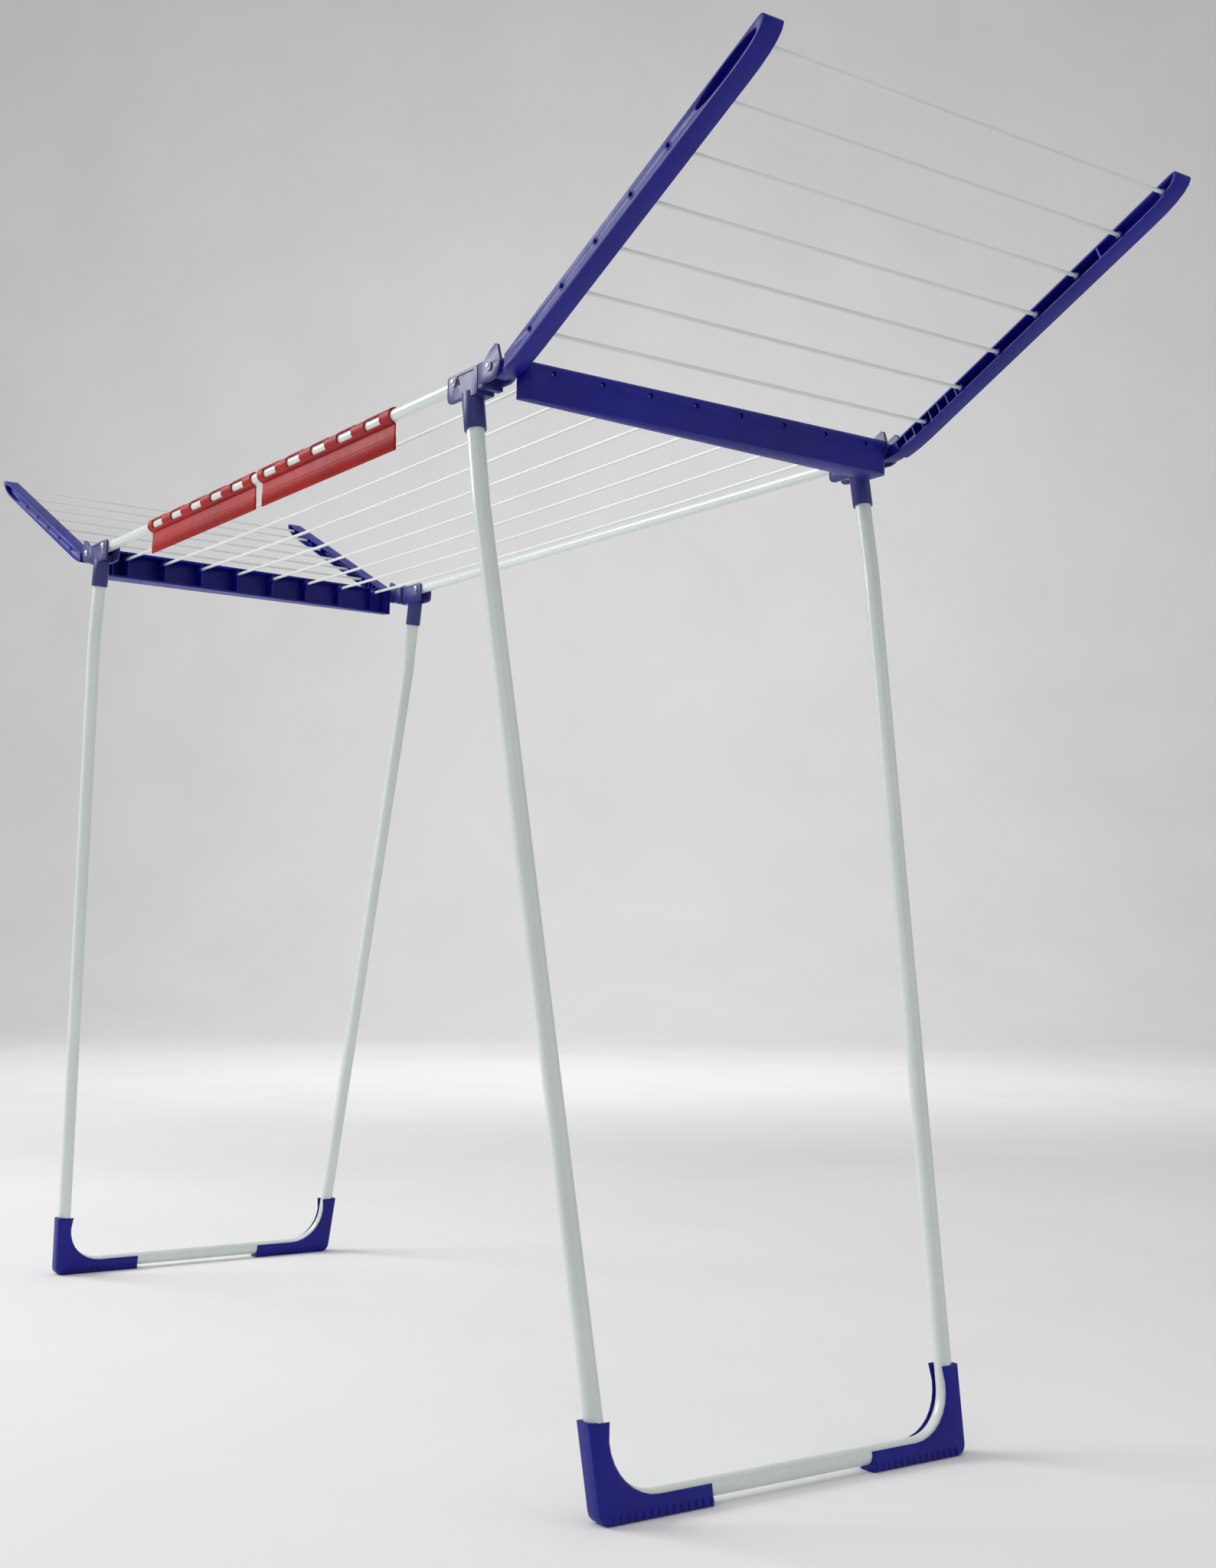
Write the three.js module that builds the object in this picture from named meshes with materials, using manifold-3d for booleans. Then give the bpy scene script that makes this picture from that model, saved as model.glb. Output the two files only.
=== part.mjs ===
import * as THREE from "three";
import { mergeVertices } from "three/addons/utils/BufferGeometryUtils.js";
import Module from "manifold-3d";

// Clothes drying rack with two raised wings, standing open.
// Millimetres, +Z up, floor at z = 0, long side along X, centred on X and Y.
// "near" is the +X end, "far" the -X end, "left" the -Y side, "right" the +Y side.

// Side rails
const RAIL_Y = 256;
const RAIL_Z = 1064;
const RAIL_RADIUS = 7;
const RAIL_BORE = 6.2;
const RAIL_HALF_LENGTH = 549;

// Leg frames: one bent tube each, in a plane that leans out towards the floor
const LEG_X_AT_FLOOR = 710;
const LEG_LEAN = 0.1815;
const LEG_HALF_WIDTH_AT_FLOOR = 212;
const LEG_FLARE = 0.0497;
const LEG_TOP_Y = 258.5;
const LEG_TOP_Z = 1041;
const LEG_BOTTOM_Z = 14;
const LEG_RADIUS = 9;
const LEG_BORE = 8.2;
const LEG_KNEE_RADIUS = 400;
const LEG_CORNER_RADIUS = 55;
const LEG_CLEARANCE = 9.6;
const LEG_SIDES = 10;

// Leg brackets: two cheeks either side of the rail, a bridge below it, a socket for the tube
const LEG_PIVOT_X = 496;
const CHEEK_X0 = 483;
const CHEEK_X1 = 540;
const CHEEK_Z0 = 1043;
const CHEEK_Z1 = 1071.5;
const CHEEK_BOTTOM_ROUND = 8;
const CHEEK_TOP_ROUND = 3;
const CHEEK_INNER_Y0 = 245.7;
const CHEEK_INNER_Y1 = 248.7;
const CHEEK_OUTER_Y0 = 263.3;
const CHEEK_OUTER_Y1 = 266.3;
const BRIDGE_X0 = 508;
const BRIDGE_X1 = 539;
const BRIDGE_Z1 = 1053;
const SOCKET_RADIUS = 11.3;
const SOCKET_Z0 = 1010;
const SOCKET_Z1 = 1048;

// Feet
const FOOT_HALF_THICKNESS = 12;
const FOOT_EDGE = 3;
const FOOT_END_Y = 98;
const FOOT_SIDE = 11.8;
const FOOT_TOP_Z = 86;
const FOOT_LEDGE_Z = 20;
const FOOT_CORNER_ROUND = 11;
const FOOT_INNER_RADIUS = 49;
const FOOT_INNER_Y = 157.7;
const FOOT_GROOVES = 14;
const FOOT_GROOVE_PITCH = 8.3;
const FOOT_GROOVE_Y0 = 102;
const FOOT_GROOVE_RADIUS = 1.8;

// End bars: channels open towards the middle, ribbed at every line
const BAR_X0 = 552;
const BAR_X1 = 587;
const BAR_Z0 = 1032.5;
const BAR_Z1 = 1071.5;
const BAR_HALF_LENGTH = 242;
const BAR_WALL = 2.5;
const BAR_RIB = 2;
const BAR_TOP_ROUND = 7;
const BAR_PLAN_ROUND = 12;
const BAR_BOSS_X = 558.6;
const BAR_BOSS_RADIUS = 5;

// Centre lines
const LINE_RADIUS = 2;
const CENTRE_LINES = 8;
const CENTRE_LINE_PITCH = 59;
const CENTRE_LINE_Z = 1062;
const CENTRE_LINE_SAG = 5;
const CENTRE_LINE_HALF_LENGTH = 583;
const CENTRE_LINE_BORE = 2.8;

// Corner pieces: a block capping the rail, with two ears that carry the wing
const WING_PIVOT_X = 563;
const CORNER_X0 = 541.6;
const CORNER_X1 = 550.9;
const CORNER_Z0 = 1046;
const CORNER_Z1 = 1071.9;
const EAR_INNER_Y0 = 242.3;
const EAR_INNER_Y1 = 245.4;
const EAR_OUTER_Y0 = 263.4;
const EAR_OUTER_Y1 = 266.4;

// Wing arms, drawn in the wing's own plane: u runs out along the wing from its pivot, v is up
const WING_SLOPE = THREE.MathUtils.degToRad(25.67);
const ARM_Y0 = 245.8;
const ARM_Y1 = 266.6;
const ARM_WEB_Y = 264;
const ARM_TOP = -7.6;
const ARM_BOTTOM = -24;
const ARM_LENGTH = 453;
const ARM_ROOT_RADIUS = 11;
const ARM_FLANGE = 2;
const ARM_RIBS = 7;
const ARM_RIB_PITCH = 14;
const ARM_RIB_U0 = 30;
const ARM_GRIP_U = 397;
const ARM_GRIP_V = -15.6;
const ARM_GRIP_Y0 = 256.3;
const ARM_GRIP_Y1 = 258.5;
const ARM_BOSS_Y = 248.6;
const ARM_BOSS_RADIUS = 4.2;
const WING_LINES = 7;
const WING_LINE_U0 = 73.2;
const WING_LINE_PITCH = 59.5;
const WING_LINE_V = -14.9;
const WING_LINE_BORE = 2.5;
const WING_LINE_HALF_LENGTH = 262;
const GRIP_LINE_HALF_LENGTH = 255.6;
const GRIP_LINES = 2;

// Rivets
const PIN_RADIUS = 2.4;
const PIN_HOLE = 2.8;
const PIN_HEAD_RADIUS = 4.6;
const PIN_HEAD_HEIGHT = 3.4;

// Clip-on holders on the left rail
const HOLDER_LENGTH = 332;
const HOLDER_NEAR_X0 = 24;
const HOLDER_FAR_X0 = -329;
const HOLDER_INNER = 7.4;
const HOLDER_OUTER = 9.2;
const HOLDER_WINDOWS = 5;
const HOLDER_WINDOW_PITCH = 65;
const HOLDER_WINDOW_LENGTH = 35;
const HOLDER_TOP_WINDOW_LENGTH = 30;
const HOLDER_CURTAIN_Z = 1026.5;

const wasm = await Module();
wasm.setup();

const rack = new THREE.Group();
rack.name = "clothes_drying_rack";

const plastic = (color, roughness) => new THREE.MeshStandardMaterial({ color, roughness });
const metal = (color, roughness) =>
  new THREE.MeshStandardMaterial({ color, roughness, metalness: 0.6 });
const armBlue = () => plastic(0x1a1e8c, 0.42);
const bracketBlue = () => plastic(0x3e4590, 0.5);
const holderRed = () => plastic(0xc4141c, 0.45);
const tubeWhite = () => plastic(0xdbe4df, 0.38);
const lineWhite = () => plastic(0xe4e9e6, 0.45);
const rivetChrome = () => metal(0xc9ccd0, 0.2);

function solidOf(geometry) {
  const bare = geometry.clone();
  bare.deleteAttribute("normal");
  bare.deleteAttribute("uv");
  const merged = mergeVertices(bare, 1e-3);
  return new wasm.Manifold(
    new wasm.Mesh({
      numProp: 3,
      vertProperties: merged.attributes.position.array,
      triVerts: new Uint32Array(merged.index.array),
    }),
  );
}

function geometryOf(solid) {
  const mesh = solid.getMesh();
  const geometry = new THREE.BufferGeometry();
  geometry.setAttribute("position", new THREE.BufferAttribute(mesh.vertProperties, 3));
  geometry.setIndex(new THREE.BufferAttribute(mesh.triVerts, 1));
  geometry.computeVertexNormals();
  return geometry;
}

function box(x0, x1, y0, y1, z0, z1) {
  const geometry = new THREE.BoxGeometry(x1 - x0, y1 - y0, z1 - z0);
  return solidOf(geometry.translate((x0 + x1) / 2, (y0 + y1) / 2, (z0 + z1) / 2));
}

function rodX(radius, y, z, x0, x1, sides) {
  const geometry = new THREE.CylinderGeometry(radius, radius, x1 - x0, sides);
  geometry.rotateZ(Math.PI / 2).rotateX(Math.PI / sides);
  return solidOf(geometry.translate((x0 + x1) / 2, y, z));
}

function rodY(radius, x, z, y0, y1, sides) {
  const geometry = new THREE.CylinderGeometry(radius, radius, y1 - y0, sides);
  return solidOf(geometry.translate(x, (y0 + y1) / 2, z));
}

function rodBetween(start, end, radius, sides) {
  const along = end.clone().sub(start);
  const geometry = new THREE.CylinderGeometry(radius, radius, along.length(), sides);
  const up = new THREE.Vector3(0, 1, 0);
  geometry.applyQuaternion(
    new THREE.Quaternion().setFromUnitVectors(up, along.clone().normalize()),
  );
  const middle = start.clone().add(end).multiplyScalar(0.5);
  return solidOf(geometry.translate(middle.x, middle.y, middle.z));
}

// A plate whose outline is drawn in X and Z, between two values of Y.
function plateY(shape, y0, y1, curveSegments = 5) {
  const options = { depth: y1 - y0, bevelEnabled: false, curveSegments };
  const geometry = new THREE.ExtrudeGeometry(shape, options);
  return solidOf(geometry.rotateX(Math.PI / 2).translate(0, y1, 0));
}

// Turns an extrusion drawn in X and Y so that its outline lies in Y and Z.
function standing(geometry) {
  const basis = new THREE.Matrix4().makeBasis(
    new THREE.Vector3(0, 1, 0),
    new THREE.Vector3(0, 0, 1),
    new THREE.Vector3(1, 0, 0),
  );
  return geometry.applyMatrix4(basis);
}

function roundPoints(radius, sides) {
  const points = [];
  for (let i = 0; i < sides; i += 1) {
    const angle = (2 * Math.PI * (i + 0.5)) / sides;
    points.push(new THREE.Vector2(radius * Math.cos(angle), radius * Math.sin(angle)));
  }
  return points;
}

function ring(outer, inner, sides) {
  const shape = new THREE.Shape(roundPoints(outer, sides));
  shape.holes.push(new THREE.Path(roundPoints(inner, sides)));
  return shape;
}

// Points of the arc that rounds off the corner between two straight lines.
function bend(before, corner, after, radius, steps) {
  const back = before.clone().sub(corner).normalize();
  const ahead = after.clone().sub(corner).normalize();
  const half = Math.acos(back.dot(ahead)) / 2;
  const reach = radius / Math.tan(half);
  const towards = back.clone().add(ahead).normalize();
  const centre = towards.multiplyScalar(radius / Math.sin(half)).add(corner);
  const first = back.clone().multiplyScalar(reach).add(corner).sub(centre);
  const last = ahead.clone().multiplyScalar(reach).add(corner).sub(centre);
  const turn = Math.atan2(first.cross(last), first.dot(last));
  const points = [];
  for (let i = 0; i <= steps; i += 1) {
    const spoke = first.clone().rotateAround(new THREE.Vector2(), (turn * i) / steps);
    points.push(spoke.add(centre));
  }
  return points;
}

// A path that puts one cross-section at each of its points.
class PointPath extends THREE.Curve {
  constructor(points) {
    super();
    this.points = points;
  }

  indexAt(t) {
    return Math.round(t * (this.points.length - 1));
  }

  getPoint(t) {
    return this.points[this.indexAt(t)].clone();
  }

  getPointAt(t) {
    return this.getPoint(t);
  }

  getTangentAt(t) {
    const index = this.indexAt(t);
    const before = this.points[Math.max(index - 1, 0)];
    const after = this.points[Math.min(index + 1, this.points.length - 1)];
    return after.clone().sub(before).normalize();
  }
}

function sweep(shape, points) {
  const options = { steps: points.length - 1, extrudePath: new PointPath(points) };
  return solidOf(new THREE.ExtrudeGeometry(shape, options));
}

function add(name, geometry, material) {
  const mesh = new THREE.Mesh(geometry, material());
  mesh.name = name;
  rack.add(mesh);
  return mesh;
}

function addAtEnds(name, geometry, material) {
  add(`${name}_near`, geometry, material);
  add(`${name}_far`, geometry, material).rotation.z = Math.PI;
}

function addAtCorners(name, geometry, material) {
  for (const end of ["near", "far"]) {
    for (const side of ["left", "right"]) {
      const mesh = add(`${name}_${end}_${side}`, geometry, material);
      const turned = end === "far";
      mesh.scale.y = (side === "left") !== turned ? -1 : 1;
      mesh.rotation.z = turned ? Math.PI : 0;
    }
  }
}

function legWidthAt(z) {
  return LEG_HALF_WIDTH_AT_FLOOR + LEG_FLARE * z;
}

function inLegPlane(y, z) {
  return new THREE.Vector3(LEG_X_AT_FLOOR - LEG_LEAN * z, y, z);
}

function legPath(topZ) {
  const top = new THREE.Vector2(LEG_TOP_Y, topZ);
  const kneeZ = (LEG_TOP_Y - LEG_HALF_WIDTH_AT_FLOOR) / LEG_FLARE;
  const knee = new THREE.Vector2(LEG_TOP_Y, kneeZ);
  const corner = new THREE.Vector2(legWidthAt(LEG_BOTTOM_Z), LEG_BOTTOM_Z);
  const middle = new THREE.Vector2(0, LEG_BOTTOM_Z);
  const right = [
    top,
    ...bend(top, knee, corner, LEG_KNEE_RADIUS, 2),
    ...bend(knee, corner, middle, LEG_CORNER_RADIUS, 7),
  ];
  const left = right.map((point) => new THREE.Vector2(-point.x, point.y)).reverse();
  return [...right, ...left].map((point) => inLegPlane(point.x, point.y));
}

function legHollow() {
  const disc = new THREE.Shape(roundPoints(LEG_CLEARANCE, LEG_SIDES));
  return sweep(disc, legPath(LEG_TOP_Z + 2));
}

function rail() {
  const options = { depth: 2 * RAIL_HALF_LENGTH, bevelEnabled: false };
  const tube = new THREE.ExtrudeGeometry(ring(RAIL_RADIUS, RAIL_BORE, 12), options);
  standing(tube).translate(-RAIL_HALF_LENGTH, RAIL_Y, RAIL_Z);
  const y0 = RAIL_Y - 9;
  const y1 = RAIL_Y + 9;
  return solidOf(tube)
    .subtract(rodY(PIN_HOLE, LEG_PIVOT_X, RAIL_Z, y0, y1, 8))
    .subtract(rodY(PIN_HOLE, -LEG_PIVOT_X, RAIL_Z, y0, y1, 8));
}

function centreLineY(index) {
  return (index - (CENTRE_LINES - 1) / 2) * CENTRE_LINE_PITCH;
}

function centreLine() {
  const length = 2 * CENTRE_LINE_HALF_LENGTH;
  const geometry = new THREE.CylinderGeometry(LINE_RADIUS, LINE_RADIUS, length, 8, 6);
  geometry.rotateZ(Math.PI / 2);
  const position = geometry.getAttribute("position");
  for (let i = 0; i < position.count; i += 1) {
    const along = position.getX(i) / CENTRE_LINE_HALF_LENGTH;
    position.setZ(i, position.getZ(i) - CENTRE_LINE_SAG * (1 - along * along));
  }
  return geometry.translate(0, 0, CENTRE_LINE_Z);
}

function barProfile() {
  const shape = new THREE.Shape();
  const x = BAR_X1 - BAR_TOP_ROUND;
  const z = BAR_Z1 - BAR_TOP_ROUND;
  shape.moveTo(BAR_X0, BAR_Z0);
  shape.lineTo(BAR_X1, BAR_Z0);
  shape.absarc(x, z, BAR_TOP_ROUND, 0, Math.PI / 2, false);
  shape.lineTo(BAR_X0, BAR_Z1);
  return shape;
}

function barPlan() {
  const shape = new THREE.Shape();
  const x = BAR_X1 - BAR_PLAN_ROUND;
  const y = BAR_HALF_LENGTH - BAR_PLAN_ROUND;
  shape.moveTo(BAR_X0 - 1, -BAR_HALF_LENGTH);
  shape.absarc(x, -y, BAR_PLAN_ROUND, -Math.PI / 2, 0, false);
  shape.absarc(x, y, BAR_PLAN_ROUND, 0, Math.PI / 2, false);
  shape.lineTo(BAR_X0 - 1, BAR_HALF_LENGTH);
  const options = { depth: 50, bevelEnabled: false, curveSegments: 3 };
  return solidOf(new THREE.ExtrudeGeometry(shape, options).translate(0, 0, BAR_Z0 - 5));
}

function barCell(y0, y1, x1) {
  return box(BAR_X0 - 1, x1, y0, y1, BAR_Z0 + BAR_WALL, BAR_Z1 - BAR_WALL);
}

function endBar() {
  const webX = BAR_X1 - BAR_WALL;
  const lastRib = centreLineY(CENTRE_LINES - 1) + BAR_RIB / 2;
  const lastCell = lastRib + 22;
  let solid = plateY(barProfile(), -BAR_HALF_LENGTH, BAR_HALF_LENGTH, 2).intersect(barPlan());
  for (let i = 0; i < CENTRE_LINES - 1; i += 1) {
    const y0 = centreLineY(i) + BAR_RIB / 2;
    const y1 = centreLineY(i + 1) - BAR_RIB / 2;
    solid = solid.subtract(barCell(y0, y1, webX));
  }
  for (const side of [-1, 1]) {
    const inner = [side * lastRib, side * lastCell].sort((a, b) => a - b);
    const outer = [side * (lastCell + BAR_RIB), side * (BAR_HALF_LENGTH - BAR_WALL)];
    outer.sort((a, b) => a - b);
    solid = solid.subtract(barCell(...inner, webX));
    solid = solid.subtract(barCell(...outer, BAR_X1 - 10));
  }
  for (let i = 0; i < CENTRE_LINES; i += 1) {
    const y = centreLineY(i);
    solid = solid
      .add(rodX(BAR_BOSS_RADIUS, y, CENTRE_LINE_Z, BAR_BOSS_X, webX + 1, 10))
      .subtract(rodX(CENTRE_LINE_BORE, y, CENTRE_LINE_Z, BAR_X0 - 1, BAR_X1 + 1, 8));
  }
  return solid;
}

function earOutline() {
  const shape = new THREE.Shape();
  shape.moveTo(CORNER_X0 + 2.4, CORNER_Z0 + 4);
  shape.lineTo(566, CORNER_Z0 + 4);
  shape.quadraticCurveTo(580, 1053, 583, 1066);
  shape.lineTo(577, 1083);
  shape.lineTo(574, 1084.5);
  shape.lineTo(564, 1080);
  shape.lineTo(553, CORNER_Z1 - 0.4);
  shape.lineTo(CORNER_X0 + 2.4, CORNER_Z1 - 0.4);
  return shape;
}

function cornerPiece() {
  const ear = earOutline();
  return box(CORNER_X0, CORNER_X1, EAR_INNER_Y0 + 0.2, EAR_OUTER_Y1 - 0.2, CORNER_Z0, CORNER_Z1)
    .add(plateY(ear, EAR_INNER_Y0, EAR_INNER_Y1))
    .add(plateY(ear, EAR_OUTER_Y0, EAR_OUTER_Y1))
    .subtract(rodX(7.4, RAIL_Y, RAIL_Z, CORNER_X0 - 1, RAIL_HALF_LENGTH + 0.4, 12))
    .subtract(rodY(PIN_HOLE, WING_PIVOT_X, RAIL_Z, EAR_INNER_Y0 - 1, EAR_OUTER_Y1 + 1, 8));
}

function cheekOutline() {
  const shape = new THREE.Shape();
  const low = CHEEK_BOTTOM_ROUND;
  const high = CHEEK_TOP_ROUND;
  shape.moveTo(CHEEK_X1, CHEEK_Z0);
  shape.lineTo(CHEEK_X1, CHEEK_Z1);
  shape.absarc(CHEEK_X0 + high, CHEEK_Z1 - high, high, Math.PI / 2, Math.PI, false);
  shape.absarc(CHEEK_X0 + low, CHEEK_Z0 + low, low, Math.PI, 1.5 * Math.PI, false);
  return shape;
}

function cheekRecess() {
  const shape = new THREE.Shape();
  shape.moveTo(CHEEK_X1 - 5, CHEEK_Z1 - 2.5);
  shape.lineTo(CHEEK_X0 + 18, CHEEK_Z1 - 2.5);
  shape.lineTo(CHEEK_X0 + 22, CHEEK_Z0 + 15);
  return shape;
}

function legBracket(hollow) {
  const cheek = cheekOutline();
  const top = inLegPlane(LEG_TOP_Y, SOCKET_Z1);
  const bottom = inLegPlane(LEG_TOP_Y, SOCKET_Z0);
  return box(BRIDGE_X0, BRIDGE_X1, CHEEK_INNER_Y0, CHEEK_OUTER_Y1, CHEEK_Z0, BRIDGE_Z1)
    .add(plateY(cheek, CHEEK_INNER_Y0, CHEEK_INNER_Y1, 2))
    .add(plateY(cheek, CHEEK_OUTER_Y0, CHEEK_OUTER_Y1, 2))
    .add(rodBetween(bottom, top, SOCKET_RADIUS, 14))
    .subtract(hollow)
    .subtract(plateY(cheekRecess(), CHEEK_OUTER_Y1 - 1, CHEEK_OUTER_Y1 + 1))
    .subtract(rodY(PIN_HOLE, LEG_PIVOT_X, RAIL_Z, 240, 272, 8));
}

function legTube() {
  return sweep(ring(LEG_RADIUS, LEG_BORE, LEG_SIDES), legPath(LEG_TOP_Z));
}

function footOutline() {
  const centreZ = FOOT_INNER_RADIUS + FOOT_LEDGE_Z;
  const bottom = new THREE.Vector2(FOOT_END_Y, 0);
  const heel = new THREE.Vector2(legWidthAt(0) + FOOT_SIDE, 0);
  const outerTop = new THREE.Vector2(legWidthAt(FOOT_TOP_Z) + FOOT_SIDE, FOOT_TOP_Z);
  const innerTop = new THREE.Vector2(legWidthAt(FOOT_TOP_Z) - FOOT_SIDE, FOOT_TOP_Z);
  const shape = new THREE.Shape([
    bottom,
    ...bend(bottom, heel, outerTop, FOOT_CORNER_ROUND, 4),
    outerTop,
    innerTop,
  ]);
  shape.absarc(FOOT_INNER_Y, centreZ, FOOT_INNER_RADIUS, 0, -Math.PI / 2, true);
  shape.lineTo(FOOT_END_Y, FOOT_LEDGE_Z);
  return shape;
}

// Turns a slab drawn in the leg frame's own outline so that it leans with the legs.
function leaning(geometry, thickness) {
  standing(geometry).translate(LEG_X_AT_FLOOR - thickness / 2, 0, 0);
  geometry.applyMatrix4(new THREE.Matrix4().makeShear(0, 0, 0, 0, -LEG_LEAN, 0));
  return solidOf(geometry);
}

// The space between a foot's two side walls, open towards the inside of the bent tube.
function footChannel() {
  const outline = legPath(LEG_TOP_Z)
    .filter((point) => point.y > 0)
    .map((point) => new THREE.Vector2(point.y, point.z));
  outline.push(new THREE.Vector2(0, LEG_BOTTOM_Z));
  outline.push(new THREE.Vector2(0, LEG_TOP_Z));
  const depth = 2 * LEG_CLEARANCE;
  const options = { depth, bevelEnabled: false };
  return leaning(new THREE.ExtrudeGeometry(new THREE.Shape(outline), options), depth);
}

function foot(hollow) {
  const depth = 2 * (FOOT_HALF_THICKNESS - FOOT_EDGE);
  const geometry = new THREE.ExtrudeGeometry(footOutline(), {
    depth,
    bevelThickness: FOOT_EDGE,
    bevelSize: FOOT_EDGE,
    bevelOffset: -FOOT_EDGE,
    bevelSegments: 1,
    curveSegments: 4,
  });
  let solid = leaning(geometry, depth).subtract(hollow).subtract(footChannel());
  for (let i = 0; i < FOOT_GROOVES; i += 1) {
    const y = FOOT_GROOVE_Y0 + FOOT_GROOVE_PITCH * i;
    const x0 = LEG_X_AT_FLOOR - FOOT_HALF_THICKNESS - 2;
    const x1 = LEG_X_AT_FLOOR + FOOT_HALF_THICKNESS + 2;
    solid = solid.subtract(rodX(FOOT_GROOVE_RADIUS, y, 0, x0, x1, 6));
  }
  return solid;
}

function wingLineU(index) {
  return WING_LINE_U0 + WING_LINE_PITCH * index;
}

function isGripLine(index) {
  return index >= WING_LINES - GRIP_LINES;
}

function armOutline() {
  const meet = Math.asin(ARM_TOP / ARM_ROOT_RADIUS);
  const shape = new THREE.Shape();
  shape.absarc(0, 0, ARM_ROOT_RADIUS, meet, THREE.MathUtils.degToRad(235), false);
  shape.quadraticCurveTo(12, ARM_BOTTOM, 62, ARM_BOTTOM);
  shape.lineTo(ARM_LENGTH - 53, ARM_BOTTOM);
  shape.quadraticCurveTo(ARM_LENGTH - 8, ARM_BOTTOM, ARM_LENGTH, -13);
  shape.quadraticCurveTo(ARM_LENGTH + 1, ARM_TOP, ARM_LENGTH - 7, ARM_TOP);
  return shape;
}

function gripPocket() {
  const shape = new THREE.Shape();
  const top = ARM_TOP - ARM_FLANGE;
  shape.moveTo(346, ARM_BOTTOM + ARM_FLANGE);
  shape.lineTo(ARM_LENGTH - 53, ARM_BOTTOM + ARM_FLANGE);
  shape.quadraticCurveTo(ARM_LENGTH - 12, ARM_BOTTOM + ARM_FLANGE, ARM_LENGTH - 4, top - 2);
  shape.lineTo(ARM_LENGTH - 5, top);
  shape.lineTo(346, top);
  return shape;
}

function gripOval() {
  const shape = new THREE.Shape();
  shape.absellipse(ARM_GRIP_U, ARM_GRIP_V, 45, 6.3, 0, 2 * Math.PI, false, 0);
  return shape;
}

function armPocket(u0, u1, floor) {
  return box(u0, u1, ARM_Y0 - 1, ARM_WEB_Y, floor, ARM_TOP - ARM_FLANGE);
}

function armShell() {
  const floor = ARM_BOTTOM + ARM_FLANGE;
  let solid = plateY(armOutline(), ARM_Y0, ARM_Y1)
    .subtract(rodY(28.5, 0, 0, ARM_WEB_Y - 1, ARM_Y1 + 1, 20))
    .subtract(armPocket(ARM_RIB_U0 + ARM_RIBS * ARM_RIB_PITCH, 344, floor))
    .subtract(plateY(gripPocket(), ARM_Y0 - 1, ARM_GRIP_Y0, 4))
    .subtract(plateY(gripOval(), ARM_GRIP_Y1, ARM_Y1 + 1, 8));
  for (let i = 0; i < ARM_RIBS; i += 1) {
    const u0 = ARM_RIB_U0 + ARM_RIB_PITCH * i;
    const raised = i < 2 ? 2.5 : 0;
    solid = solid.subtract(armPocket(u0, u0 + ARM_RIB_PITCH - 1.6, floor + raised));
  }
  return solid;
}

function wingArm() {
  let solid = armShell();
  for (let i = 0; i < WING_LINES; i += 1) {
    const u = wingLineU(i);
    const bossEnd = isGripLine(i) ? ARM_GRIP_Y0 + 0.5 : ARM_WEB_Y + 0.5;
    const boreEnd = isGripLine(i) ? GRIP_LINE_HALF_LENGTH + 0.3 : ARM_Y1 + 1;
    solid = solid
      .add(rodY(ARM_BOSS_RADIUS, u, WING_LINE_V, ARM_BOSS_Y, bossEnd, 10))
      .subtract(rodY(WING_LINE_BORE, u, WING_LINE_V, ARM_Y0 - 1, boreEnd, 8));
  }
  solid = solid.subtract(rodY(PIN_HOLE, 0, 0, ARM_Y0 - 1, ARM_Y1 + 1, 8));
  return onWing(geometryOf(solid));
}

function onWing(geometry) {
  return geometry.rotateY(-WING_SLOPE).translate(WING_PIVOT_X, 0, RAIL_Z);
}

function wingLine(index) {
  const half = isGripLine(index) ? GRIP_LINE_HALF_LENGTH : WING_LINE_HALF_LENGTH;
  const geometry = new THREE.CylinderGeometry(LINE_RADIUS, LINE_RADIUS, 2 * half, 8);
  return onWing(geometry.translate(wingLineU(index), 0, WING_LINE_V));
}

function domePoints(base, direction) {
  const points = [];
  for (let i = 0; i <= 3; i += 1) {
    const angle = (Math.PI / 2) * (i / 3);
    const radius = i === 3 ? 0 : PIN_HEAD_RADIUS * Math.cos(angle);
    const height = base + direction * PIN_HEAD_HEIGHT * Math.sin(angle);
    points.push(new THREE.Vector2(radius, height));
  }
  return points;
}

function legRivet() {
  const inner = CHEEK_INNER_Y0 - 0.3;
  const outer = CHEEK_OUTER_Y1 + 0.3;
  return new THREE.LatheGeometry(
    [
      ...domePoints(inner, -1).reverse(),
      new THREE.Vector2(PIN_RADIUS, inner),
      new THREE.Vector2(PIN_RADIUS, outer),
      ...domePoints(outer, 1),
    ],
    8,
  ).translate(LEG_PIVOT_X, 0, RAIL_Z);
}

function wingRivet() {
  const outer = EAR_OUTER_Y1 + 0.3;
  return new THREE.LatheGeometry(
    [
      new THREE.Vector2(0, EAR_INNER_Y0 + 0.7),
      new THREE.Vector2(PIN_RADIUS, EAR_INNER_Y0 + 0.7),
      new THREE.Vector2(PIN_RADIUS, outer),
      ...domePoints(outer, 1),
    ],
    8,
  ).translate(WING_PIVOT_X, 0, RAIL_Z);
}

function holderSection() {
  const start = THREE.MathUtils.degToRad(-20);
  const end = THREE.MathUtils.degToRad(270);
  const shape = new THREE.Shape();
  shape.absarc(0, 0, HOLDER_OUTER, start, end, false);
  shape.absarc(0, 0, HOLDER_INNER, end, start, true);
  return shape;
}

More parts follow.
